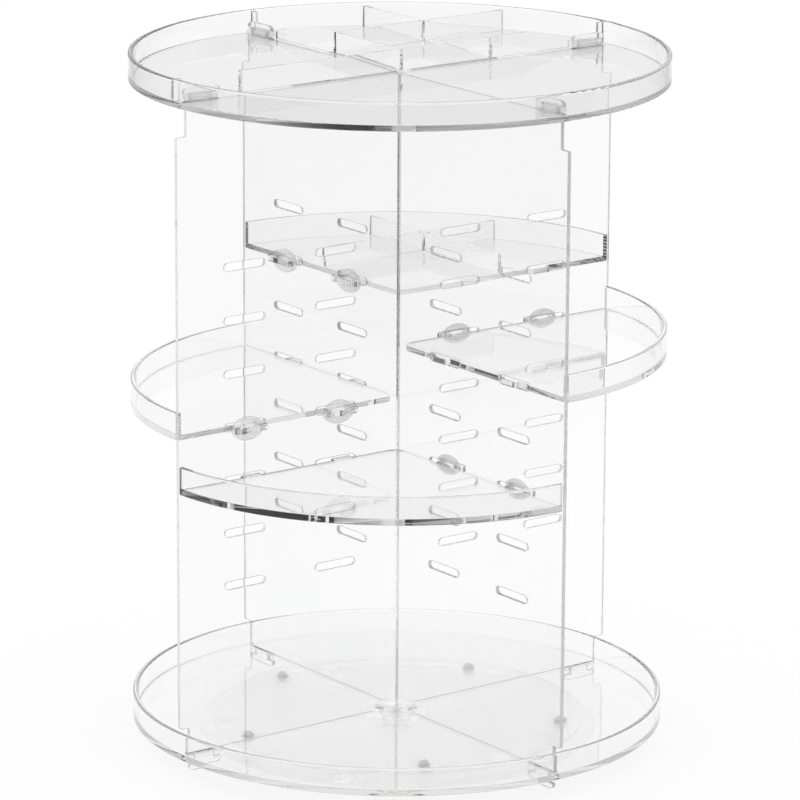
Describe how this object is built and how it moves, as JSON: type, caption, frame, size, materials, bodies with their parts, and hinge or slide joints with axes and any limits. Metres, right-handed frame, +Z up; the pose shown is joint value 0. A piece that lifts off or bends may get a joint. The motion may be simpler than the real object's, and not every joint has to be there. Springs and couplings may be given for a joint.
{
  "type": "rotating makeup organizer",
  "caption": "Clear acrylic carousel for cosmetics: round base tray on a ball turntable, crossed slotted panels, stepped quarter shelves held by soft rings, divided top tray.",
  "frame": {"origin": "on the turning axis, at the surface that the rubber feet stand on", "axes": "+Z up along the turning axis, +X and +Y along the two crossed panels; the pictured front looks into the quarter between -X and -Y"},
  "size_m": [0.23, 0.23, 0.3023],
  "materials": {
    "clear_acrylic": "polished clear",
    "soft_ring": "frosted translucent",
    "foot_rubber": "frosted translucent",
    "bearing_steel": "polished",
    "white_nylon": "satin"
  },
  "bodies": {
    "foot": {"foot_disc": "clear_acrylic", "foot_pads": "foot_rubber", "pivot_washer": "white_nylon"},
    "ball_ring": {"ball_cage": "clear_acrylic", "bearing_balls": "bearing_steel"},
    "carousel": {"back_shelf": "clear_acrylic", "back_shelf_clips": "soft_ring", "base_clips": "soft_ring", "base_tray": "clear_acrylic", "front_shelf": "clear_acrylic", "front_shelf_clips": "soft_ring", "left_shelf": "clear_acrylic", "left_shelf_clips": "soft_ring", "panel_along_x": "clear_acrylic", "panel_along_y": "clear_acrylic", "pivot_screw": "white_nylon", "right_shelf": "clear_acrylic", "right_shelf_clips": "soft_ring", "shelf_divider": "clear_acrylic", "top_clips": "soft_ring", "top_divider": "clear_acrylic", "top_tray": "clear_acrylic"}
  },
  "joints": [
    {"name": "turntable_spin", "type": "hinge", "parent": "foot", "child": "carousel", "pos_m": [0, 0, 0.009], "axis": [0, 0, 1], "continuous": true},
    {"name": "ball_ring_spin", "type": "hinge", "parent": "foot", "child": "ball_ring", "pos_m": [0, 0, 0.0064], "axis": [0, 0, 1], "continuous": true}
  ],
  "couplings": [
    {"joint": "ball_ring_spin", "follows": "turntable_spin", "ratio": 0.5}
  ]
}
